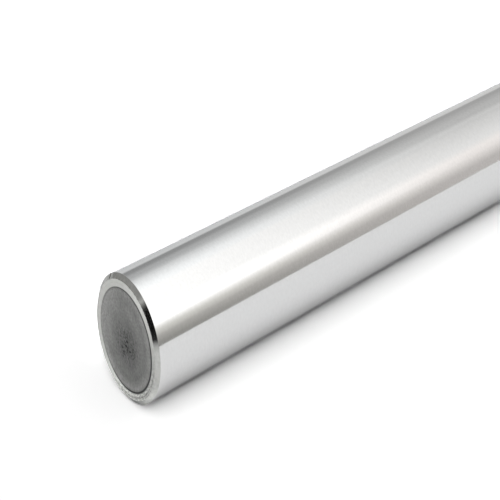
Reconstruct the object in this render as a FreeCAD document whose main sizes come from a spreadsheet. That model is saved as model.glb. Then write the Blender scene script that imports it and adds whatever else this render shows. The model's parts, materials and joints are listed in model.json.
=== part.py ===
import FreeCAD, Part
import os
import Sketcher

# A precision linear shaft: one solid round bar of hardened steel, ground and polished to size,
# with a bevel turned on each end so that a ball bushing can be slid on without catching.
# The bar lies along X with its axis on Y = Z = 0 and its middle at the origin. Millimetres.

# Driving dimensions: alias, value, what it measures
SIZES = (
    ("shaft_diameter", 20.0, "ground outside diameter"),
    ("shaft_length", 300.0, "overall length, end face to end face"),
    ("bevel_axial", 0.55, "length of the end bevel along the axis"),
    ("bevel_radial", 0.8, "depth of the end bevel across the radius"),
)

# Corners of the half section, in the order in which they are joined
AXIS_LEFT, FACE_LEFT, WALL_LEFT, WALL_RIGHT, FACE_RIGHT, AXIS_RIGHT = range(6)

# Lines of the half section: line number n runs from corner n to the next one
END_LEFT, BEVEL_LEFT, GROUND_WALL, BEVEL_RIGHT, END_RIGHT, AXIS_LINE = range(6)

# Which point of a sketch element a constraint takes hold of
START, END = 1, 2
SKETCH_ORIGIN = (-1, 1)
HORIZONTAL_AXIS = -1

FULL_TURN = 360.0
NODE = "shaft"


def make_sheet(doc):
    """Put the driving dimensions into a spreadsheet, one aliased cell each."""
    sheet = doc.addObject("Spreadsheet::Sheet", "sizes")
    for row, (alias, value, meaning) in enumerate(SIZES, start=1):
        sheet.set(f"A{row}", meaning)
        sheet.set(f"B{row}", str(value))
        sheet.setAlias(f"B{row}", alias)
    doc.recompute()
    return sheet


def origin_plane(body, role):
    """Find one of the body's own datum planes by its role."""
    return next(item for item in body.Origin.OriginFeatures if item.Role == role)


def section_corners(sheet):
    """Corners of the bar's upper half section, from the left end of the axis to the right end."""
    half_length = sheet.shaft_length / 2
    radius = sheet.shaft_diameter / 2
    face_radius = radius - sheet.bevel_radial
    wall_end = half_length - sheet.bevel_axial
    return (
        FreeCAD.Vector(-half_length, 0, 0),
        FreeCAD.Vector(-half_length, face_radius, 0),
        FreeCAD.Vector(-wall_end, radius, 0),
        FreeCAD.Vector(wall_end, radius, 0),
        FreeCAD.Vector(half_length, face_radius, 0),
        FreeCAD.Vector(half_length, 0, 0),
    )


def bind(sketch, name, constraint, formula):
    """Add a named dimension to the sketch and tie it to the spreadsheet."""
    index = sketch.addConstraint(constraint)
    sketch.renameConstraint(index, name)
    sketch.setExpression(f"Constraints.{name}", formula)


def draw_half_section(body, sheet):
    """Draw the closed half section of the bar, on the plane through its axis."""
    sketch = body.newObject("Sketcher::SketchObject", "half_section")
    sketch.AttachmentSupport = (origin_plane(body, "XZ_Plane"), [""])
    sketch.MapMode = "FlatFace"

    corners = section_corners(sheet)
    for index, corner in enumerate(corners):
        following = corners[(index + 1) % len(corners)]
        sketch.addGeometry(Part.LineSegment(corner, following), False)
    for line in range(len(corners)):
        following = (line + 1) % len(corners)
        sketch.addConstraint(Sketcher.Constraint("Coincident", line, END, following, START))

    for line in (END_LEFT, END_RIGHT):
        sketch.addConstraint(Sketcher.Constraint("Vertical", line))
    sketch.addConstraint(Sketcher.Constraint("Horizontal", GROUND_WALL))
    sketch.addConstraint(Sketcher.Constraint("PointOnObject", AXIS_LINE, START, HORIZONTAL_AXIS))
    sketch.addConstraint(
        Sketcher.Constraint("Symmetric", AXIS_LINE, START, AXIS_LINE, END, *SKETCH_ORIGIN)
    )

    half_length = abs(corners[AXIS_LEFT].x)
    radius = corners[WALL_LEFT].y
    bevel_axial = corners[WALL_LEFT].x - corners[FACE_LEFT].x
    bevel_radial = corners[WALL_LEFT].y - corners[FACE_LEFT].y
    bind(
        sketch,
        "length",
        Sketcher.Constraint("DistanceX", AXIS_LINE, END, AXIS_LINE, START, 2 * half_length),
        "sizes.shaft_length",
    )
    bind(
        sketch,
        "radius",
        Sketcher.Constraint("DistanceY", *SKETCH_ORIGIN, GROUND_WALL, START, radius),
        "sizes.shaft_diameter / 2",
    )
    bind(
        sketch,
        "bevel_axial_left",
        Sketcher.Constraint("DistanceX", BEVEL_LEFT, START, BEVEL_LEFT, END, bevel_axial),
        "sizes.bevel_axial",
    )
    bind(
        sketch,
        "bevel_radial_left",
        Sketcher.Constraint("DistanceY", BEVEL_LEFT, START, BEVEL_LEFT, END, bevel_radial),
        "sizes.bevel_radial",
    )
    bind(
        sketch,
        "bevel_axial_right",
        Sketcher.Constraint("DistanceX", BEVEL_RIGHT, START, BEVEL_RIGHT, END, bevel_axial),
        "sizes.bevel_axial",
    )
    bind(
        sketch,
        "bevel_radial_right",
        Sketcher.Constraint("DistanceY", BEVEL_RIGHT, END, BEVEL_RIGHT, START, bevel_radial),
        "sizes.bevel_radial",
    )
    return sketch


def turn_shaft(doc, sheet):
    """Turn the half section about the axis into the finished bar."""
    body = doc.addObject("PartDesign::Body", NODE)
    body.Label = NODE
    sketch = draw_half_section(body, sheet)
    doc.recompute()
    turning = body.newObject("PartDesign::Revolution", "turned_bar")
    turning.Profile = sketch
    turning.ReferenceAxis = (sketch, ["H_Axis"])
    turning.Angle = FULL_TURN
    body.Placement = FreeCAD.Placement()
    return body


def check(doc, parts):
    """Stop before anything is written if a feature failed or a solid is not sound."""
    for item in doc.Objects:
        if "Invalid" in item.State or "Error" in item.State:
            raise RuntimeError(f"{item.Name} did not build: {item.State}")
    for part in parts:
        if part.Shape.isNull() or not part.Shape.isValid():
            raise RuntimeError(f"{part.Label} has no sound shape")


def main():
    doc = FreeCAD.newDocument("linear_shaft")
    sheet = make_sheet(doc)
    parts = [turn_shaft(doc, sheet)]
    doc.recompute()
    check(doc, parts)
    os.makedirs("parts", exist_ok=True)
    for part in parts:
        part.Shape.exportStep(f"parts/{part.Label}.step")
        print(part.Label, "volume", round(part.Shape.Volume, 1), "box", part.Shape.BoundBox)


main()
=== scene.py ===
"""Looks of a precision linear shaft: a hardened, ground and polished round bar that lies on a pale floor."""
import json
import math
from typing import NamedTuple

import bpy
import numpy as np
from bpy.props import FloatProperty, FloatVectorProperty, IntProperty, PointerProperty
from bpy.types import Operator, Panel, PropertyGroup
from mathutils import Euler, Matrix, Vector


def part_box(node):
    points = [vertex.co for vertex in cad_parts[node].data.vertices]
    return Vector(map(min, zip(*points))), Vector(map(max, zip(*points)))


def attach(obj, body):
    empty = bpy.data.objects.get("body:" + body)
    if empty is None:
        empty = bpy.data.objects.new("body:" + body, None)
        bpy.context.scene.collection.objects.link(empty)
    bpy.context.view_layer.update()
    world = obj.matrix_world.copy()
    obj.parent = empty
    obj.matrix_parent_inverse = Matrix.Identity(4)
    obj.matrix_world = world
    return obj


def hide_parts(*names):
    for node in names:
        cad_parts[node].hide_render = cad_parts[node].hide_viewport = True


bl_info = {
    "name": "Linear shaft",
    "version": (1, 0, 0),
    "blender": (4, 5, 0),
    "location": "3D View > Sidebar > Shaft",
    "description": "Dresses a ground linear shaft and sets it on a pale floor",
    "category": "Object",
}

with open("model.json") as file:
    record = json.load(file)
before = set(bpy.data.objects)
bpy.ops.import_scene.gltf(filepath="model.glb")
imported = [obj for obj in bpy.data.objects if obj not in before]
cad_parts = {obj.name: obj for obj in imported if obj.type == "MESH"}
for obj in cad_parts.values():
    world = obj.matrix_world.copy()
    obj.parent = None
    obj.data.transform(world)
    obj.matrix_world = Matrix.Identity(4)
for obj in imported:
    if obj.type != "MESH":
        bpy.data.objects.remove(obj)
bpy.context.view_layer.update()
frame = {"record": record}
MILLIMETRE = 0.001
NODE = "shaft"
BODY = "root"
GROUND_OUTSIDE = next(m for m in frame["record"]["mounts"] if m["name"] == "ground_outside")
LOW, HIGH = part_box(NODE)

# Material slots of the bar's mesh
WALL, BEVEL, CUT_FACE = range(3)

# Points of the bar's profile on each stretch of an end
CORE_POINTS = 12
SEAM_POINTS = 9
CASE_POINTS = 2
SCORE_POINTS = 7
ROUND_POINTS = 5
SLOPE_POINTS = 4


class ShaftSizes(PropertyGroup):
    """Sizes of the bar and of the fine relief on it."""

    length: FloatProperty(
        name="Length",
        description="Overall length, end face to end face",
        default=HIGH.x - LOW.x,
        unit="LENGTH",
        precision=5,
    )
    radius: FloatProperty(
        name="Radius",
        description="Ground outside radius",
        default=GROUND_OUTSIDE["dims"]["r_mm"] * MILLIMETRE,
        unit="LENGTH",
        precision=5,
    )
    bevel_axial: FloatProperty(
        name="Bevel along the axis",
        description="Length of the end bevel along the axis",
        default=(HIGH.x - LOW.x - GROUND_OUTSIDE["dims"]["length_mm"] * MILLIMETRE) / 2,
        unit="LENGTH",
        precision=5,
    )
    bevel_radial: FloatProperty(
        name="Bevel across the radius",
        description="Depth of the end bevel across the radius",
        default=0.8 * MILLIMETRE,
        unit="LENGTH",
        precision=5,
    )
    edge_round: FloatProperty(
        name="Edge round",
        description="Radius that deburring leaves on the bevel's two edges",
        default=0.05 * MILLIMETRE,
        unit="LENGTH",
        precision=6,
    )
    core_radius: FloatProperty(
        name="Core radius",
        description="Radius of the soft core that shows on the cut ends",
        default=7.95 * MILLIMETRE,
        unit="LENGTH",
        precision=5,
    )
    seam_width: FloatProperty(
        name="Seam width",
        description="Width of the fine groove between the soft core and the hardened case",
        default=0.2 * MILLIMETRE,
        unit="LENGTH",
        precision=6,
    )
    seam_depth: FloatProperty(
        name="Seam depth",
        description="Depth of the fine groove between the soft core and the hardened case",
        default=0.02 * MILLIMETRE,
        unit="LENGTH",
        precision=6,
    )
    score_radius: FloatProperty(
        name="Score radius",
        description="Radius of the line that the facing tool scored into the hardened case",
        default=8.75 * MILLIMETRE,
        unit="LENGTH",
        precision=5,
    )
    score_width: FloatProperty(
        name="Score width",
        description="Width of the scored line",
        default=0.3 * MILLIMETRE,
        unit="LENGTH",
        precision=6,
    )
    score_depth: FloatProperty(
        name="Score depth",
        description="Depth of the scored line",
        default=0.02 * MILLIMETRE,
        unit="LENGTH",
        precision=6,
    )
    knock_turn: FloatProperty(
        name="Knock's place",
        description="Angle of the small knock on the near bevel, from the bar's back over its top",
        default=math.radians(56.0),
        subtype="ANGLE",
    )
    knock_width: FloatProperty(
        name="Knock's width",
        description="Width of the small knock around the bar",
        default=0.4 * MILLIMETRE,
        unit="LENGTH",
        precision=6,
    )
    knock_length: FloatProperty(
        name="Knock's length",
        description="Length of the small knock up the slope of the bevel",
        default=0.9 * MILLIMETRE,
        unit="LENGTH",
        precision=6,
    )
    knock_depth: FloatProperty(
        name="Knock's depth",
        description="Depth of the small knock",
        default=0.08 * MILLIMETRE,
        unit="LENGTH",
        precision=6,
    )
    around: IntProperty(
        name="Steps around",
        description="Steps of the mesh around the bar",
        default=512,
        min=24,
    )
    along: IntProperty(
        name="Steps along",
        description="Steps of the mesh along the ground wall",
        default=60,
        min=1,
    )


class ShaftFinish(PropertyGroup):
    """Colours and polish of the bar's surfaces."""

    wall_colour: FloatVectorProperty(
        name="Ground wall",
        description="Colour of the ground and polished outside",
        subtype="COLOR",
        default=(0.66, 0.658, 0.65),
        min=0.0,
        max=1.0,
    )
    wall_roughness: FloatProperty(
        name="Wall roughness",
        description="Roughness of the ground and polished outside",
        default=0.105,
        min=0.0,
        max=1.0,
    )
    wall_glance: FloatProperty(
        name="Wall at a glance",
        description="Share of its glancing reflection that the outside keeps",
        default=0.75,
        min=0.0,
        max=1.0,
    )
    bevel_colour: FloatVectorProperty(
        name="Bevel",
        description="Colour of the turned bevel",
        subtype="COLOR",
        default=(0.45, 0.45, 0.43),
        min=0.0,
        max=1.0,
    )
    bevel_roughness: FloatProperty(
        name="Bevel roughness",
        description="Roughness of the turned bevel",
        default=0.09,
        min=0.0,
        max=1.0,
    )
    bevel_glance: FloatProperty(
        name="Bevel at a glance",
        description="Share of its glancing reflection that the bevel keeps",
        default=0.48,
        min=0.0,
        max=1.0,
    )
    case_colour: FloatVectorProperty(
        name="Hardened case",
        description="Colour of the hardened case on the cut ends",
        subtype="COLOR",
        default=(0.473, 0.474, 0.448),
        min=0.0,
        max=1.0,
    )
    case_roughness: FloatProperty(
        name="Case roughness",
        description="Roughness of the hardened case on the cut ends",
        default=0.35,
        min=0.0,
        max=1.0,
    )
    core_colour: FloatVectorProperty(
        name="Soft core",
        description="Colour of the soft core on the cut ends",
        subtype="COLOR",
        default=(0.168, 0.168, 0.161),
        min=0.0,
        max=1.0,
    )
    core_roughness: FloatProperty(
        name="Core roughness",
        description="Roughness of the soft core on the cut ends",
        default=0.55,
        min=0.0,
        max=1.0,
    )
    seam_colour: FloatVectorProperty(
        name="Seam",
        description="Colour of the fine groove between core and case",
        subtype="COLOR",
        default=(0.03, 0.03, 0.03),
        min=0.0,
        max=1.0,
    )


class ShaftStage(PropertyGroup):
    """Floor, light and camera."""

    floor_left: FloatProperty(
        name="Floor beside the near end",
        description="How far the pale floor reaches past the near end",
        default=0.1,
        unit="LENGTH",
    )
    floor_fade: FloatProperty(
        name="Floor's soft edge",
        description="Width over which the metal sees the floor darken towards its left edge",
        default=0.07,
        unit="LENGTH",
    )
    floor_back: FloatProperty(
        name="Floor behind",
        description="How far the pale floor reaches behind the bar",
        default=0.09,
        unit="LENGTH",
    )
    floor_step: FloatProperty(
        name="Floor's step",
        description="How much further the pale floor reaches back beside the near end",
        default=0.1,
        unit="LENGTH",
    )
    floor_reach: FloatProperty(
        name="Floor in front",
        description="How far the pale floor reaches in front of the bar and past its far end",
        default=4.0,
        unit="LENGTH",
    )
    floor_colour: FloatVectorProperty(
        name="Floor",
        description="Colour of the floor as it lights the bar",
        subtype="COLOR",
        default=(0.25, 0.25, 0.25),
        min=0.0,
        max=1.0,
    )
    floor_mirrored: FloatVectorProperty(
        name="Floor in the metal",
        description="Colour of the floor as the metal mirrors it",
        subtype="COLOR",
        default=(1.075, 1.083, 1.097),
    )
    floor_seen: FloatProperty(
        name="Floor as seen",
        description="Brightness of the floor's colour as the camera sees it",
        default=1.37,
    )
    viewpoint: FloatVectorProperty(
        name="Viewpoint",
        description="Place of the lens, from the middle of the near end face",
        subtype="TRANSLATION",
        unit="LENGTH",
        default=(-0.12204, -0.20061, 0.15658),
    )
    heading: FloatProperty(
        name="Heading",
        description="Direction in which the level camera faces, from the shaft's axis",
        subtype="ANGLE",
        default=math.radians(47.004),
    )
    film_distance: FloatProperty(
        name="Film distance",
        description="Distance from the lens to the upright film, in millimetres",
        default=98.65,
        unit="CAMERA",
    )
    lens_fall: FloatProperty(
        name="Lens fall",
        description="How far the lens is lowered from the middle of the film, in millimetres",
        default=60.758,
        unit="CAMERA",
    )
    lens_cross: FloatProperty(
        name="Lens cross",
        description="How far the lens is moved sideways from the middle of the film, in millimetres",
        default=11.417,
        unit="CAMERA",
    )


def corner_round(corner, towards, away, radius, steps):
    """Points and directions of a round at a corner of a profile.

    The round is an arc that leaves the incoming direction d at a tangent and turns by the angle w between
    both directions: point(s) = start + radius * (sin(w s) d + (1 - cos(w s)) n) for s from 0 to 1, where
    n is the unit vector at right angles to d on the side of the turn.
    """
    turn = math.acos(float(np.clip(towards @ away, -1.0, 1.0)))
    side = (away - towards * math.cos(turn)) / math.sin(turn)
    start = corner - towards * radius * math.tan(turn / 2)
    angle = np.linspace(0.0, turn, steps)[:, None]
    points = start + radius * (np.sin(angle) * towards + (1 - np.cos(angle)) * side)
    return points, np.cos(angle) * towards + np.sin(angle) * side


def straight(start, stop, steps):
    """Points evenly spaced on a straight line between two points, both ends left out, with its direction."""
    share = np.linspace(0.0, 1.0, steps + 2)[1:-1, None]
    way = (stop - start) / np.linalg.norm(stop - start)
    return start + share * (stop - start), np.repeat(way[None], steps, axis=0)


def fine_groove(radius, width, depth, steps):
    """Points and directions of a fine groove round the axis.

    Its depth is depth * (1 + cos(pi u)) / 2 at radius + width / 2 * u, for u from -1 to 1.
    """
    share = np.linspace(-1.0, 1.0, steps)
    half = width / 2
    sunk = depth * (1 + np.cos(np.pi * share)) / 2
    slope = -depth * np.pi / 2 * np.sin(np.pi * share) / half
    points = np.stack([sunk, radius + half * share], axis=1)
    ways = np.stack([slope, np.ones(steps)], axis=1)
    return points, ways / np.linalg.norm(ways, axis=1, keepdims=True)


def end_profile(sizes):
    """Profile of one end from the axis to the ground wall.

    Each row is the depth below the end plane and the radius. Also gives the profile's direction at each
    point and the material that begins there.
    """
    face_radius = sizes.radius - sizes.bevel_radial
    outwards = np.array([0.0, 1.0])
    along = np.array([1.0, 0.0])
    bevel = np.array([sizes.bevel_axial, sizes.bevel_radial])
    bevel_way = bevel / np.linalg.norm(bevel)
    face_corner = np.array([0.0, face_radius])
    wall_corner = face_corner + bevel

    axis = (np.zeros((1, 2)), outwards[None])
    seam = fine_groove(sizes.core_radius, sizes.seam_width, sizes.seam_depth, SEAM_POINTS)
    core = straight(axis[0][0], seam[0][0], CORE_POINTS)
    score = fine_groove(sizes.score_radius, sizes.score_width, sizes.score_depth, SCORE_POINTS)
    case = straight(seam[0][-1], score[0][0], CASE_POINTS)
    inner_round = corner_round(face_corner, outwards, bevel_way, sizes.edge_round, ROUND_POINTS)
    lip = straight(score[0][-1], inner_round[0][0], CASE_POINTS)
    outer_round = corner_round(wall_corner, bevel_way, along, sizes.edge_round, ROUND_POINTS)
    slope = straight(inner_round[0][-1], outer_round[0][0], SLOPE_POINTS)

    runs = (
        (axis, CUT_FACE),
        (core, CUT_FACE),
        (seam, CUT_FACE),
        (case, CUT_FACE),
        (score, CUT_FACE),
        (lip, CUT_FACE),
        (inner_round, BEVEL),
        (slope, BEVEL),
        (outer_round, WALL),
    )
    points = np.concatenate([run[0] for run, _ in runs])
    ways = np.concatenate([run[1] for run, _ in runs])
    surfaces = np.concatenate([np.full(len(run[0]), surface) for run, surface in runs])
    return points, ways, surfaces


def bar_profile(sizes):
    """Profile of the whole bar along X: the place, radius and outward normal of each point.

    Also gives the material of each step from one point to the next.
    """
    points, ways, surfaces = end_profile(sizes)
    place = points[:, 0] - sizes.length / 2
    radius = points[:, 1]
    normal = np.stack([-ways[:, 1], ways[:, 0]], axis=1)
    wall_place = np.linspace(place[-1], -place[-1], sizes.along + 1)[1:-1]
    wall_normal = np.tile([0.0, 1.0], (len(wall_place), 1))
    all_place = np.concatenate([place, wall_place, -place[::-1]])
    all_radius = np.concatenate([radius, np.full(len(wall_place), sizes.radius), radius[::-1]])
    all_normal = np.concatenate([normal, wall_normal, normal[::-1] * [-1.0, 1.0]])
    wall_steps = np.full(len(wall_place) + 1, WALL)
    all_surfaces = np.concatenate([surfaces[:-1], wall_steps, surfaces[-2::-1]])
    return all_place, all_radius, all_normal, all_surfaces


def knock_middle(sizes):
    """Middle of the small knock, half way up the near bevel."""
    radius = sizes.radius - sizes.bevel_radial / 2
    turn = sizes.knock_turn
    return (sizes.bevel_axial / 2 - sizes.length / 2, radius * math.cos(turn), radius * math.sin(turn))


def press_knock(points, normals, sizes):
    """Press a small knock into the near bevel.

    Each point sinks along the bevel's normal by depth * exp(-(u^2 + v^2 + w^2)), where u, v and w are its
    distances from the knock's middle up the slope, around the bar and off the slope, each over half the
    knock's size. The normals lean by the slope of that dip.
    """
    turn = sizes.knock_turn
    outwards = np.array([0.0, math.cos(turn), math.sin(turn)])
    around = np.array([0.0, -math.sin(turn), math.cos(turn)])
    axle = np.array([1.0, 0.0, 0.0])
    bevel = sizes.bevel_axial * axle + sizes.bevel_radial * outwards
    slope = bevel / np.linalg.norm(bevel)
    off = np.cross(around, slope)
    axes = np.stack([slope, around, off])
    reach = np.array([sizes.knock_length, sizes.knock_width, sizes.knock_length]) / 2
    local = (points - np.array(knock_middle(sizes))) @ axes.T / reach
    dip = sizes.knock_depth * np.exp(-np.sum(local**2, axis=-1, keepdims=True))
    lean = (2 * dip * local / reach)[..., :2] @ axes[:2]
    return points - dip * off, normals - lean


def turned_mesh(name, sizes):
    """Closed surface of revolution about X, with a small knock on one bevel.

    Point (i, j) is (place i, radius i * cos a, radius i * sin a) with a = 2 pi j / around. The first and
    the last profile point lie on the axis and are one vertex each, joined to their neighbours by a fan.
    """
    place, radius, normal, surfaces = bar_profile(sizes)
    around = sizes.around
    angle = 2 * np.pi * np.arange(around) / around
    wheel = np.stack([np.zeros(around), np.cos(angle), np.sin(angle)], axis=1)
    axle = np.array([1.0, 0.0, 0.0])
    rings = slice(1, -1)
    grid = radius[rings, None, None] * wheel + place[rings, None, None] * axle
    grid_normal = normal[rings, 1, None, None] * wheel + normal[rings, 0, None, None] * axle
    grid, grid_normal = press_knock(grid, grid_normal, sizes)
    poles = place[[0, -1], None] * axle
    verts = np.concatenate([grid.reshape(-1, 3), poles])
    normals = np.concatenate([grid_normal.reshape(-1, 3), [-axle, axle]])

    count = len(place) - 2
    index = np.arange(count * around).reshape(count, around)
    turned = np.roll(index, -1, axis=1)
    quads = np.stack([index[:-1], turned[:-1], turned[1:], index[1:]], axis=-1).reshape(-1, 4)
    first, last = count * around, count * around + 1
    near_fan = np.stack([np.full(around, first), turned[0], index[0]], axis=1)
    far_fan = np.stack([np.full(around, last), index[-1], turned[-1]], axis=1)

    mesh = bpy.data.meshes.new(name)
    mesh.from_pydata(verts, [], near_fan.tolist() + quads.tolist() + far_fan.tolist())
    mesh.polygons.foreach_set("material_index", np.repeat(surfaces, around).astype(np.int32))
    mesh.polygons.foreach_set("use_smooth", np.ones(len(mesh.polygons), dtype=bool))
    mesh.normals_split_custom_set_from_vertices(normals)
    return mesh


class Mottle(NamedTuple):
    """Uneven tone, as noise that is spread from a low to a high value.

    The scale is how often the noise changes in a metre, all ways or along X, Y and Z. With a cut, the noise
    is sharpened to blots first: it is 0 up to the cut's first level and 1 past its second.
    """

    scale: float | tuple
    detail: float
    low: float
    high: float
    cut: tuple = ()


class Side(NamedTuple):
    """One side of a round surface.

    It lies in a direction (Y, Z) from the axis, begins at one distance and is full at another. The tone is
    its brightness where it is full.
    """

    direction: tuple
    begin: float
    full: float
    tone: float = 1.0


class Nodes:
    """Short way to write a node tree: most calls add one node and give back its output."""

    def __init__(self, tree):
        self.tree = tree
        tree.nodes.clear()

    def add(self, kind, inputs=(), **settings):
        """Add a node, set its properties, and plug values or sockets into its inputs by name or number."""
        node = self.tree.nodes.new(kind)
        for name, value in settings.items():
            setattr(node, name, value)
        for key, value in dict(inputs).items():
            self.plug(node.inputs[key], value)
        return node

    def plug(self, socket, value):
        """Link a socket, or set a plain value."""
        if isinstance(value, bpy.types.NodeSocket):
            self.tree.links.new(value, socket)
        else:
            socket.default_value = value

    def math(self, operation, *values, clamp=False):
        """One Math node."""
        inputs = dict(enumerate(values))
        return self.add("ShaderNodeMath", inputs, operation=operation, use_clamp=clamp).outputs[0]

    def product(self, *factors):
        """Product of all factors."""
        result, *others = factors
        for factor in others:
            result = self.math("MULTIPLY", result, factor)
        return result

    def vector(self, operation, inputs, output="Vector"):
        """One Vector Math node."""
        return self.add("ShaderNodeVectorMath", inputs, operation=operation).outputs[output]

    def split(self, vector):
        """X, Y and Z of a vector, by name."""
        return self.add("ShaderNodeSeparateXYZ", {0: vector}).outputs

    def mix(self, factor, first, second):
        """Mix of two colours."""
        node = self.add("ShaderNodeMix", data_type="RGBA")
        self.plug(node.inputs["Factor"], factor)
        colours = [s for s in node.inputs if s.type == "RGBA"]
        self.plug(colours[0], first)
        self.plug(colours[1], second)
        return next(s for s in node.outputs if s.type == "RGBA")

    def shade(self, colour, brightness):
        """Colour times a brightness."""
        return self.vector("SCALE", {0: colour, "Scale": brightness})

    def rise(self, value, low, high, interpolation="LINEAR"):
        """Rise of a value from 0 at low to 1 at high, straight unless said otherwise."""
        inputs = {"Value": value, "From Min": low, "From Max": high}
        return self.add("ShaderNodeMapRange", inputs, interpolation_type=interpolation).outputs[0]

    def between(self, value, low, high):
        """Smooth step of a value from 0 at low to 1 at high."""
        return self.rise(value, low, high, "SMOOTHSTEP")

    def band(self, value, edges):
        """1 inside a band and 0 outside it. Each edge is the values at which it is 0 and 1."""
        first, second = edges
        return self.product(self.between(value, *first), self.between(value, *second))

    def spread(self, share, low, high):
        """Value from low at share 0 to high at share 1."""
        return self.add("ShaderNodeMapRange", {"Value": share, "To Min": low, "To Max": high}).outputs[0]

    def ramp(self, factor, stops):
        """One Color Ramp from (position, colour) stops."""
        node = self.add("ShaderNodeValToRGB", {"Fac": factor})
        elements = node.color_ramp.elements
        while len(elements) < len(stops):
            elements.new(1.0)
        for element, (position, colour) in zip(elements, stops, strict=True):
            element.position = position
            element.color = rgba(colour)
        return node.outputs["Color"]

    def tones(self, value, rows, unit):
        """Brightness over a value from (value in units, brightness) rows, straight from row to row."""
        first, last = rows[0][0], rows[-1][0]
        stops = [((place - first) / (last - first), [tone] * 3) for place, tone in rows]
        return self.ramp(self.rise(value, first * unit, last * unit), stops)

    def noise(self, place, scale, detail):
        """Noise from 0 to 1. The scale is its changes in a metre, all ways or along X, Y and Z."""
        if isinstance(scale, tuple):
            place = self.stretch(place, scale)
            scale = 1.0
        inputs = {"Vector": place, "Scale": scale, "Detail": detail}
        return self.add("ShaderNodeTexNoise", inputs).outputs["Fac"]

    def mottle(self, place, kind):
        """Value of a mottle at a place."""
        share = self.noise(place, kind.scale, kind.detail)
        if kind.cut:
            share = self.between(share, *kind.cut)
        return self.spread(share, kind.low, kind.high)

    def rings(self, radius, kind):
        """Value of a mottle that changes with the radius alone."""
        inputs = {"W": radius, "Scale": kind.scale, "Detail": kind.detail}
        share = self.add("ShaderNodeTexNoise", inputs, noise_dimensions="1D").outputs["Fac"]
        return self.spread(share, kind.low, kind.high)

    def stretch(self, vector, factors):
        """Vector times a factor on each axis."""
        return self.vector("MULTIPLY", {0: vector, 1: factors})

    def reach(self, place, middle=(0.0, 0.0), halves=(1.0, 1.0)):
        """Distance from a line along X through a (Y, Z) middle, each axis over its half size."""
        moved = self.vector("SUBTRACT", {0: place, 1: (0.0, *middle)})
        scaled = self.stretch(moved, (0.0, 1.0 / halves[0], 1.0 / halves[1]))
        return self.vector("LENGTH", {0: scaled}, "Value")

    def along(self, place, direction):
        """Distance along a (Y, Z) direction."""
        return self.vector("DOT_PRODUCT", {0: place, 1: (0.0, *direction)}, "Value")

    def side(self, place, side):
        """0 before a side begins, and 1 where it is full."""
        return self.between(self.along(place, side.direction), side.begin, side.full)

    def side_tone(self, place, side):
        """Brightness of a side, from 1 before it begins."""
        return self.spread(self.side(place, side), 1.0, side.tone)

    def bump(self, height, depth, strength=1.0):
        """Normal of a relief whose height from 0 to 1 stands for some depth."""
        inputs = {"Height": height, "Distance": depth, "Strength": strength}
        return self.add("ShaderNodeBump", inputs).outputs[0]

    def mirrored(self, path):
        """1 for what is seen mirrored in metal, by a glossy ray with no diffuse bounce, else 0."""
        direct = self.math("LESS_THAN", path["Diffuse Depth"], 1.0)
        return self.product(path["Is Glossy Ray"], direct)


BLACK = (0.0, 0.0, 0.0, 1.0)
WHITE = (1.0, 1.0, 1.0, 1.0)


def rgba(colour):
    """Colour with full alpha."""
    return (*colour, 1.0)


def new_material(name):
    """Empty node material, with its node writer and the place on the object in metres."""
    material = bpy.data.materials.new(name)
    material.use_nodes = True
    nodes = Nodes(material.node_tree)
    place = nodes.add("ShaderNodeTexCoord").outputs["Object"]
    return material, nodes, place


def finish_material(nodes, shader):
    """Send a shader to the material's surface."""
    nodes.add("ShaderNodeOutputMaterial", {"Surface": shader.outputs[0]})


def finish_metal(nodes, inputs):
    """Send a metal with these shader inputs to the material's surface."""
    finish_material(nodes, nodes.add("ShaderNodeBsdfPrincipled", {"Metallic": 1.0, **inputs}))


# Brightness of the fine grain on the ground wall
WALL_GRAIN = Mottle((3000.0, 1500.0, 1500.0), 1.0, 0.95, 1.05)
# Height of the faint streaks along the wall, as a share of their depth
WALL_STREAKS = Mottle((5.0, 600.0, 600.0), 1.0, 0.0, 1.0)
STREAK_DEPTH = 0.02 * MILLIMETRE
# Shares of the wall's roughness, about half each: the wheel's fine rings, and patches of the polish
WHEEL_RINGS = Mottle((9000.0, 30.0, 30.0), 3.0, 0.425, 0.575)
POLISH_PATCHES = Mottle(90.0, 2.0, 0.425, 0.575)


def ground_wall(finish):
    """Ground and polished outside: the wheel's fine rings, a fine grain, and faint streaks along the bar."""
    material, nodes, place = new_material("ground_wall")
    uneven = nodes.math("ADD", nodes.mottle(place, WHEEL_RINGS), nodes.mottle(place, POLISH_PATCHES))
    inputs = {
        "Base Color": nodes.shade(finish.wall_colour, nodes.mottle(place, WALL_GRAIN)),
        "Roughness": nodes.product(uneven, finish.wall_roughness),
        "Specular Tint": rgba([finish.wall_glance] * 3),
        "Normal": nodes.bump(nodes.mottle(place, WALL_STREAKS), STREAK_DEPTH),
    }
    finish_metal(nodes, inputs)
    return material


# Share of the bevel's roughness on the ring of each pass of the tool
TOOL_PASSES = Mottle((20000.0, 60.0, 60.0), 2.0, 0.7, 1.3)
BEVEL_MOTTLE = Mottle(1500.0, 2.0, 0.75, 1.25)
# Brightness of the painted shade in the small knock
KNOCK_SHADE = 0.25
# Foot of the bevel, which is paler with painted light
BEVEL_FOOT_LIGHT = Side((-0.616, -0.788), 8.3 * MILLIMETRE, 9.5 * MILLIMETRE, 1.5)


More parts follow.
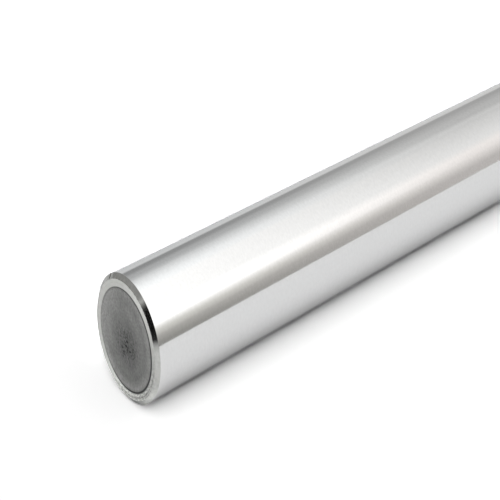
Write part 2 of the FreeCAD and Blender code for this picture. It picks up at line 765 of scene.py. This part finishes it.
def turned_bevel(finish, sizes):
    """Turned bevel: a ring for each pass of the tool, painted light on its foot, and painted shade in the
    small knock.
    """
    material, nodes, place = new_material("turned_bevel")
    across_knock = (-math.sin(sizes.knock_turn), math.cos(sizes.knock_turn))
    off_line = nodes.math("ABSOLUTE", nodes.along(place, across_knock))
    away = nodes.vector("DISTANCE", {0: place, 1: knock_middle(sizes)}, "Value")
    # Painted shade in the small knock's dip
    knock_shade = nodes.product(
        nodes.between(away, sizes.knock_length, sizes.knock_length / 2),
        nodes.between(off_line, sizes.knock_width / 2, 0.0),
    )
    tone = nodes.product(
        nodes.mottle(place, BEVEL_MOTTLE),
        nodes.spread(knock_shade, 1.0, KNOCK_SHADE),
        # Painted light on the bevel's foot
        nodes.side_tone(place, BEVEL_FOOT_LIGHT),
    )
    inputs = {
        "Base Color": nodes.shade(finish.bevel_colour, tone),
        "Roughness": nodes.product(nodes.mottle(place, TOOL_PASSES), finish.bevel_roughness),
        "Specular Tint": rgba([finish.bevel_glance] * 3),
    }
    finish_metal(nodes, inputs)
    return material


# Brightness of the soft core at shares of its radius, from the axis outwards
CORE_TONES = ((0.0, 0.84), (0.3, 0.88), (0.5, 0.97), (0.78, 1.1), (0.89, 1.28), (0.94, 1.36), (0.98, 1.1))
CORE_RINGS = Mottle(900.0, 3.0, 0.88, 1.12)
CORE_CLOUDS = Mottle(400.0, 3.0, 0.7, 1.3)
CORE_SPECKLE = Mottle(2300.0, 1.0, 0.6, 1.4)
# Distances from the upright middle plane over which the core's flanks turn paler with a painted sheen, and
# their brightness
SHEEN_FLANKS = (1.5 * MILLIMETRE, 6.5 * MILLIMETRE)
FLANK_SHEEN_TONE = 1.15
# Direction (Y, Z) towards the core's front and bottom, which have painted shade while its back and top have
# painted light, how far the change reaches each way, and the change
CORE_SHADE_WAY = (-0.7, -0.71)
CORE_SHADE_REACH = 6.0 * MILLIMETRE
CORE_SHADE_CHANGE = 0.13
# Radii at which that change is gone, at the core's rim, and at which it is full
CORE_SHADE_RADII = (7.4 * MILLIMETRE, 6.0 * MILLIMETRE)
# Middle (Y, Z) and half size of the dark grainy patch where the parting tool tore the core
TORN_MIDDLE = (-0.5 * MILLIMETRE, -0.9 * MILLIMETRE)
TORN_HALVES = (5.0 * MILLIMETRE, 4.5 * MILLIMETRE)
# Share of its brightness that the torn patch loses, grain by grain, and a factor on it, clump by clump
TORN_GRAIN = Mottle(2500.0, 0.5, 0.2, 0.95, cut=(0.43, 0.66))
TORN_CLUMPS = Mottle(900.0, 1.0, 0.65, 1.25, cut=(0.35, 0.65))


def soft_core(nodes, place, radius, finish, sizes):
    """Colour of the soft core: turning rings, a painted sheen on its flanks, painted light and shade on its
    sides, a paler rim and a dark grainy middle.
    """
    off_middle = nodes.math("ABSOLUTE", nodes.split(place)["Y"])
    # Painted shade towards the core's front and bottom, painted light towards its back and top
    shade_way = nodes.rise(nodes.along(place, CORE_SHADE_WAY), -CORE_SHADE_REACH, CORE_SHADE_REACH)
    inside = nodes.between(radius, *CORE_SHADE_RADII)
    change = nodes.product(nodes.spread(shade_way, CORE_SHADE_CHANGE, -CORE_SHADE_CHANGE), inside)
    torn = nodes.between(nodes.reach(place, TORN_MIDDLE, TORN_HALVES), 1.0, 0.0)
    dark = nodes.product(torn, nodes.mottle(place, TORN_CLUMPS), nodes.mottle(place, TORN_GRAIN))
    tone = nodes.product(
        nodes.tones(radius, CORE_TONES, sizes.core_radius),
        nodes.rings(radius, CORE_RINGS),
        nodes.mottle(place, CORE_CLOUDS),
        nodes.mottle(place, CORE_SPECKLE),
        # Painted sheen on the core's flanks
        nodes.spread(nodes.between(off_middle, *SHEEN_FLANKS), 1.0, FLANK_SHEEN_TONE),
        nodes.math("ADD", change, 1.0),
        nodes.math("SUBTRACT", 1.0, dark, clamp=True),
    )
    return nodes.shade(finish.core_colour, tone)


# Direction (Y, Z), mostly towards the front and a little down, along which the hardened case has painted
# light and shade
CASE_SHADE_WAY = (-0.906, -0.423)
# Brightness of the hardened case at distances in that direction, in millimetres: painted light across its
# middle and painted shade towards both ends
CASE_TONES = (
    (-10, 0.76),
    (-5, 0.82),
    (-2, 0.93),
    (1.5, 1.06),
    (3, 0.97),
    (5.5, 0.9),
    (8, 0.78),
    (10, 0.76),
)
CASE_MOTTLE = Mottle(1500.0, 2.0, 0.84, 1.16)
# Side of the hardened case that the facing tool left rough
ROUGH_SIDE = Side((-0.5, -0.866), 3.0 * MILLIMETRE, 7.5 * MILLIMETRE)
# Brightness that the pits there add or take, and the radius at which they are as long as they are wide.
# Further out, they are drawn out around the axis
CASE_PITS = Mottle(4200.0, 1.0, -0.35, 0.35, cut=(0.34, 0.66))
PIT_RADIUS = 4.0 * MILLIMETRE
# Brightness of the rough side at radii, in millimetres: a painted highlight on a lip, then painted shade in
# the scored line
SCORE_LIGHT_AND_SHADE = ((8.2, 1.0), (8.45, 1.4), (8.6, 1.0), (8.75, 0.45), (8.95, 1.0), (9.3, 1.15))
# Share of the lip and the line that is left at their breaks and between them
SCORE_BREAKS = Mottle(1100.0, 2.0, 0.5, 1.0, cut=(0.4, 0.6))


def hardened_case(nodes, place, radius, finish):
    """Colour of the hardened case: mottled, with painted light and shade across it, and pits, a painted
    highlight and a line of painted shade on its rough side.
    """
    parts = nodes.split(place)
    turn = nodes.math("ARCTAN2", parts["Z"], parts["Y"])
    swept = nodes.add("ShaderNodeCombineXYZ", {0: radius, 1: nodes.product(turn, PIT_RADIUS)}).outputs[0]
    rough = nodes.side(place, ROUGH_SIDE)
    pits = nodes.product(rough, nodes.mottle(swept, CASE_PITS))
    scored = nodes.product(rough, nodes.mottle(place, SCORE_BREAKS))
    tone = nodes.product(
        # Painted light and shade across the hardened case
        nodes.tones(nodes.along(place, CASE_SHADE_WAY), CASE_TONES, MILLIMETRE),
        nodes.mottle(place, CASE_MOTTLE),
        nodes.math("ADD", pits, 1.0),
        # Painted highlight on the lip and painted shade in the scored line, on the rough side
        nodes.mix(scored, WHITE, nodes.tones(radius, SCORE_LIGHT_AND_SHADE, MILLIMETRE)),
    )
    return nodes.shade(finish.case_colour, tone)


# Middle (Y, Z) of the hardened case's inner edge. It is off the bar's axis, so that the seam is a crescent
CASE_MIDDLE = (-0.145 * MILLIMETRE, -0.04 * MILLIMETRE)
# Distances past the core's radius, from that middle, at which the case begins and is full
CASE_EDGE = (0.05 * MILLIMETRE, 0.3 * MILLIMETRE)
# Distance inside the core's radius at which the dark seam begins, and the distances past it, from the case's
# middle, at which the seam ends and is full
SEAM_INSIDE = 0.15 * MILLIMETRE
SEAM_END = 0.15 * MILLIMETRE
SEAM_FULL = 0.03 * MILLIMETRE
# Foot of the cut face, which is paler with painted light
FACE_FOOT_LIGHT = Side((0.259, -0.966), 4.0 * MILLIMETRE, 9.0 * MILLIMETRE, 1.25)
# Height of the fine turning marks on the cut face, as a share of their depth, and how much they show
TURNING_MARKS = Mottle(5000.0, 2.0, 0.0, 1.0)
MARK_DEPTH = 0.02 * MILLIMETRE
MARK_STRENGTH = 0.15


def cut_face(finish, sizes):
    """Cut end: a matt soft core inside a bright hardened case, with a dark seam between them and painted
    light on its foot.
    """
    material, nodes, place = new_material("cut_face")
    core_radius = sizes.core_radius
    radius = nodes.reach(place)
    from_case = nodes.reach(place, CASE_MIDDLE)
    in_case = nodes.between(from_case, *(core_radius + edge for edge in CASE_EDGE))
    seam = nodes.product(
        nodes.between(radius, core_radius - SEAM_INSIDE, core_radius),
        nodes.between(from_case, core_radius + SEAM_END, core_radius + SEAM_FULL),
    )
    core = soft_core(nodes, place, radius, finish, sizes)
    case = hardened_case(nodes, place, radius, finish)
    # Painted light on the foot of the cut face
    metal = nodes.shade(nodes.mix(in_case, core, case), nodes.side_tone(place, FACE_FOOT_LIGHT))
    inputs = {
        "Base Color": nodes.mix(seam, metal, rgba(finish.seam_colour)),
        "Roughness": nodes.spread(in_case, finish.core_roughness, finish.case_roughness),
        "Normal": nodes.bump(nodes.rings(radius, TURNING_MARKS), MARK_DEPTH, MARK_STRENGTH),
    }
    finish_metal(nodes, inputs)
    return material


class SHAFT_OT_turn_bar(Operator):
    """Turn the bar with its bevelled ends and give each surface its finish"""

    bl_idname = "shaft.turn_bar"
    bl_label = "Turned bar"

    def execute(self, context):
        scene = context.scene
        sizes, finish = scene.shaft_sizes, scene.shaft_finish
        mesh = turned_mesh("turned_bar", sizes)
        for material in (ground_wall(finish), turned_bevel(finish, sizes), cut_face(finish, sizes)):
            mesh.materials.append(material)
        bar = bpy.data.objects.new("turned_bar", mesh)
        scene.collection.objects.link(bar)
        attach(bar, BODY)
        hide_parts(NODE)
        return {"FINISHED"}


# Painted light on the mirrored floor behind the bar: its brightness at shares of the way to its back edge,
# at the near end, then far along
FLOOR_NEAR = ((0.0, 1.0), (0.15, 1.23), (0.6, 1.33), (0.8, 0.92))
FLOOR_FAR = ((0.0, 1.0), (0.15, 1.4), (0.6, 1.55), (0.8, 1.1))
# Places along X between which the one turns into the other
FLOOR_TURNS = (-120.0 * MILLIMETRE, 0.0)
# Painted shadow on the mirrored floor close beside the bar: its width, its brightness under the bar, and how
# soon it ends past the near end
CREVICE_WIDTH = 12.0 * MILLIMETRE
CREVICE_SHADOW_TONE = 0.75
CREVICE_END = 1.0 * MILLIMETRE
# Share of the seen floor's brightness at distances along the bar from its near end, with painted shade
# around and past that end, then, beside the bar, at distances behind its axis, with painted light close in
# front of the bar and faint painted shade further out, all in millimetres
SEEN_ALONG = ((-10, 0.8175), (-4.5, 0.81), (-1.5, 0.84), (2.5, 0.94), (6, 1.0))
SEEN_ACROSS = ((-9, 0.97), (-6, 0.99), (-5.2, 1.025), (-4.5, 1.07), (-3.6, 1.17))
# Distance along the bar from its near end at which that second share holds in full
BESIDE_BAR = 2.0 * MILLIMETRE


def floor_sheet(left, back, stage):
    """Level sheet under the bar, with a step in its back edge beside the near end."""
    right = HIGH.x + stage.floor_reach
    front = LOW.y - stage.floor_reach
    step = back + stage.floor_step
    outline = ((left, front), (right, front), (right, back), (LOW.x, back), (LOW.x, step), (left, step))
    mesh = bpy.data.meshes.new("floor")
    mesh.from_pydata([(*corner, LOW.z) for corner in outline], [], [range(len(outline))])
    return mesh


def pale_floor(left, back, stage):
    """Matt floor. It looks white to the camera, pale in the metal, and keeps the bar's shadow. Painted
    shadow, shade and light are added beside the bar and behind it.
    """
    material, nodes, place = new_material("pale_floor")
    path = nodes.add("ShaderNodeLightPath").outputs
    parts = nodes.split(place)
    near, far = (nodes.tones(parts["Y"], rows, back) for rows in (FLOOR_NEAR, FLOOR_FAR))
    beside = nodes.between(nodes.math("ABSOLUTE", parts["Y"]), 0.0, CREVICE_WIDTH)
    past_end = nodes.between(parts["X"], LOW.x, LOW.x - CREVICE_END)
    pale = nodes.product(
        nodes.between(parts["X"], left, left + stage.floor_fade),
        # Painted light on the mirrored floor behind the bar
        nodes.mix(nodes.rise(parts["X"], *FLOOR_TURNS), near, far),
        # Painted shadow on the floor close beside the bar, as the metal mirrors it
        nodes.spread(nodes.math("MAXIMUM", beside, past_end), CREVICE_SHADOW_TONE, 1.0),
    )
    colour = nodes.mix(
        nodes.mirrored(path),
        rgba(stage.floor_colour),
        nodes.shade(stage.floor_mirrored, pale),
    )
    # Painted shade past the near end and painted light close in front of the bar, as the camera sees the
    # floor
    from_end = nodes.math("SUBTRACT", parts["X"], LOW.x)
    across = nodes.tones(parts["Y"], SEEN_ACROSS, MILLIMETRE)
    seen = nodes.product(
        nodes.tones(from_end, SEEN_ALONG, MILLIMETRE),
        nodes.mix(nodes.rise(from_end, 0.0, BESIDE_BAR), WHITE, across),
        stage.floor_seen,
    )
    colour = nodes.mix(path["Is Camera Ray"], colour, seen)
    finish_material(nodes, nodes.add("ShaderNodeBsdfDiffuse", {"Color": colour}))
    return material


def lay_floor(context, stage):
    """Floor under the bar, as a sheet of its own that is no part of the object."""
    left = LOW.x - stage.floor_left
    back = HIGH.y + stage.floor_back
    mesh = floor_sheet(left, back, stage)
    mesh.materials.append(pale_floor(left, back, stage))
    floor = bpy.data.objects.new("floor", mesh)
    context.scene.collection.objects.link(floor)


# The light tent as the metal mirrors it: degrees from the front floor line over the roof to the back floor
# line, then the brightness there beside the near end, towards the far end and towards the tent's left side
TENT = (
    (0, 0.3, 0.68, 0.5),
    (14, 0.55, 0.68, 0.5),
    (26, 0.9, 0.9, 0.7),
    (36, 1.8, 1.1, 1.0),
    (46, 2.0, 1.2, 1.1),
    (60, 1.6, 1.1, 1.2),
    (96, 1.6, 0.9, 1.0),
    (103, 1.55, 0.84, 1.0),
    (112, 1.4, 0.86, 0.9),
    (121, 1.2, 0.69, 0.75),
    (132, 0.79, 0.71, 0.6),
    (140, 0.63, 0.66, 0.5),
    (146, 0.6, 0.63, 0.5),
    (154, 0.43, 0.58, 0.5),
    (160, 0.39, 0.58, 0.5),
    (164, 0.43, 0.61, 0.5),
    (169, 0.95, 1.0, 0.5),
    (180, 0.95, 1.05, 0.5),
)
HALF_TURN = 180

# For the same three parts, the degrees up to which the tent's front has a tint, that tint, and the tint of
# its back past COOL_ABOVE
PLAIN = (1.0, 1.0, 1.0)
TENT_TINTS = (
    (30, (1.01, 1.0, 0.95), (0.98, 1.0, 1.015)),
    (50, (1.045, 1.0, 0.98), PLAIN),
    (30, (1.01, 1.0, 0.95), PLAIN),
)
COOL_ABOVE = 100

# The X of a direction at which one part of the tent begins to turn into another and has done so
NEAR_TO_FAR = (0.45, 0.63)
NEAR_TO_LEFT = (0.2, -0.1)

# Dark slit in the tent's left side: the direction (Y, Z) across it, the X at which it begins and is full,
# and the edges of the slit and of the bright rim along it, as distances across
SLIT_ACROSS = (-0.76, 0.65)
SLIT_BEGINS = (-0.85, -0.92)
SLIT_EDGES = ((-0.02, 0.058), (0.2, 0.14))
SLIT_RIM = ((-0.06, -0.02), (0.03, -0.01))
SLIT_RIM_TONE = 1.4

# The front lamp as the floor sees it: degrees from the front floor line over the roof, then its brightness
LAMP = (
    (0, 0.1),
    (37, 0.2),
    (42, 2.8),
    (46, 3.8),
    (60, 1.75),
    (80, 0.9),
    (110, 0.85),
    (130, 0.2),
    (180, 0.05),
)
# The X of a direction towards the lamp's right and left ends, and the share of its brightness there
LAMP_ENDS = (0.4, -0.4)
LAMP_SHARES = (0.25, 1.75)

# Brightness of the white backdrop that the camera sees past the floor
BACKDROP = (1.2, 1.2, 1.2)


def tent_stops(part):
    """Stops of one part of the tent over the bar: plain overhead, with its tints at the front and back."""
    warm_below, warm, cool = TENT_TINTS[part]
    stops = []
    for angle, *levels in TENT:
        tint = PLAIN
        if angle < warm_below:
            tint = warm
        if angle > COOL_ABOVE:
            tint = cool
        stops.append((angle / HALF_TURN, [levels[part] * share for share in tint]))
    return stops


def tent_light(nodes, way, angle):
    """Colour of the tent as the metal mirrors it: gaps in front and behind, and a slit in its left side."""
    sideways = nodes.split(way)["X"]
    over = nodes.math("DIVIDE", angle, math.pi)
    near, far, left = (nodes.ramp(over, tent_stops(part)) for part in range(len(TENT_TINTS)))
    tent = nodes.mix(nodes.rise(sideways, *NEAR_TO_FAR), near, far)
    tent = nodes.mix(nodes.rise(sideways, *NEAR_TO_LEFT), tent, left)
    across = nodes.along(way, SLIT_ACROSS)
    at_left = nodes.between(sideways, *SLIT_BEGINS)
    rim = nodes.product(nodes.band(across, SLIT_RIM), at_left)
    slit = nodes.product(nodes.band(across, SLIT_EDGES), at_left)
    return nodes.mix(slit, nodes.shade(tent, nodes.spread(rim, 1.0, SLIT_RIM_TONE)), BLACK)


def lamp_light(nodes, way, angle):
    """Colour of the front lamp, which is brighter at its left end."""
    sideways = nodes.rise(nodes.split(way)["X"], *LAMP_ENDS)
    lamp = nodes.tones(angle, LAMP, math.pi / HALF_TURN)
    return nodes.shade(lamp, nodes.spread(sideways, *LAMP_SHARES))


def light_tent(context):
    """Light all round: the lamp on the floor, the tent as the metal mirrors it, and white to the camera."""
    world = bpy.data.worlds.new("light_tent")
    context.scene.world = world
    world.use_nodes = True
    world.cycles.sampling_method = "NONE"
    nodes = Nodes(world.node_tree)
    path = nodes.add("ShaderNodeLightPath").outputs
    way = nodes.add("ShaderNodeTexCoord").outputs["Generated"]
    parts = nodes.split(way)
    forward = nodes.math("MULTIPLY", parts["Y"], -1.0)
    angle = nodes.math("ABSOLUTE", nodes.math("ARCTAN2", parts["Z"], forward))
    colour = nodes.mix(path["Is Camera Ray"], BLACK, rgba(BACKDROP))
    colour = nodes.mix(path["Is Diffuse Ray"], colour, lamp_light(nodes, way, angle))
    colour = nodes.mix(nodes.mirrored(path), colour, tent_light(nodes, way, angle))
    shader = nodes.add("ShaderNodeBackground", {"Color": colour, "Strength": 1.0})
    nodes.add("ShaderNodeOutputWorld", {"Surface": shader.outputs[0]})


def place_camera(context, stage):
    """View camera: its film stands upright and level, and its lens is lowered and moved sideways.

    The camera's own axes are then not square: X and Y lie in the film, and Z runs from the lens to the
    film's middle, along (cross, fall, distance). Blender's focal length is the length of that slanting line.
    """
    slant = Vector((stage.lens_cross, stage.lens_fall, stage.film_distance))
    near_end = Vector((LOW.x, 0.0, (LOW.z + HIGH.z) / 2))
    upright = Euler((math.pi / 2, 0.0, stage.heading - math.pi / 2))
    pose = Matrix.LocRotScale(near_end + Vector(stage.viewpoint), upright, None)
    shear = Matrix.Identity(4)
    shear.col[2] = (*slant.normalized(), 0.0)

    data = bpy.data.cameras.new("view_camera")
    data.lens = slant.length
    camera = bpy.data.objects.new("view_camera", data)
    stand = bpy.data.objects.new("camera_stand", None)
    for item in (stand, camera):
        context.scene.collection.objects.link(item)
    camera.parent = stand
    camera.matrix_parent_inverse = pose @ shear @ pose.inverted()
    camera.matrix_basis = pose
    context.scene.camera = camera


class SHAFT_OT_set_stage(Operator):
    """Lay the floor, light it and place the camera"""

    bl_idname = "shaft.set_stage"
    bl_label = "Stage"

    def execute(self, context):
        stage = context.scene.shaft_stage
        lay_floor(context, stage)
        light_tent(context)
        place_camera(context, stage)
        context.scene.view_settings.view_transform = "Standard"
        return {"FINISHED"}


class SHAFT_PT_panel(Panel):
    """Sizes, finish and stage of the shaft"""

    bl_label = "Linear shaft"
    bl_space_type = "VIEW_3D"
    bl_region_type = "UI"
    bl_category = "Shaft"

    def draw(self, context):
        layout = self.layout
        for group in ("shaft_sizes", "shaft_finish", "shaft_stage"):
            settings = getattr(context.scene, group)
            box = layout.box()
            for name in settings.bl_rna.properties.keys():
                if name not in ("rna_type", "name"):
                    box.prop(settings, name)
        for operator in (SHAFT_OT_turn_bar, SHAFT_OT_set_stage):
            layout.operator(operator.bl_idname)


CLASSES = (ShaftSizes, ShaftFinish, ShaftStage, SHAFT_OT_turn_bar, SHAFT_OT_set_stage, SHAFT_PT_panel)


def register():
    """Add the shaft's settings, operators and panel to Blender."""
    for item in CLASSES:
        bpy.utils.register_class(item)
    bpy.types.Scene.shaft_sizes = PointerProperty(type=ShaftSizes)
    bpy.types.Scene.shaft_finish = PointerProperty(type=ShaftFinish)
    bpy.types.Scene.shaft_stage = PointerProperty(type=ShaftStage)


def unregister():
    """Take them out again."""
    for name in ("shaft_sizes", "shaft_finish", "shaft_stage"):
        delattr(bpy.types.Scene, name)
    for item in reversed(CLASSES):
        bpy.utils.unregister_class(item)


def main():
    """Turn the bar and set its stage."""
    register()
    bpy.ops.shaft.turn_bar()
    bpy.ops.shaft.set_stage()


if __name__ == "__main__":
    main()
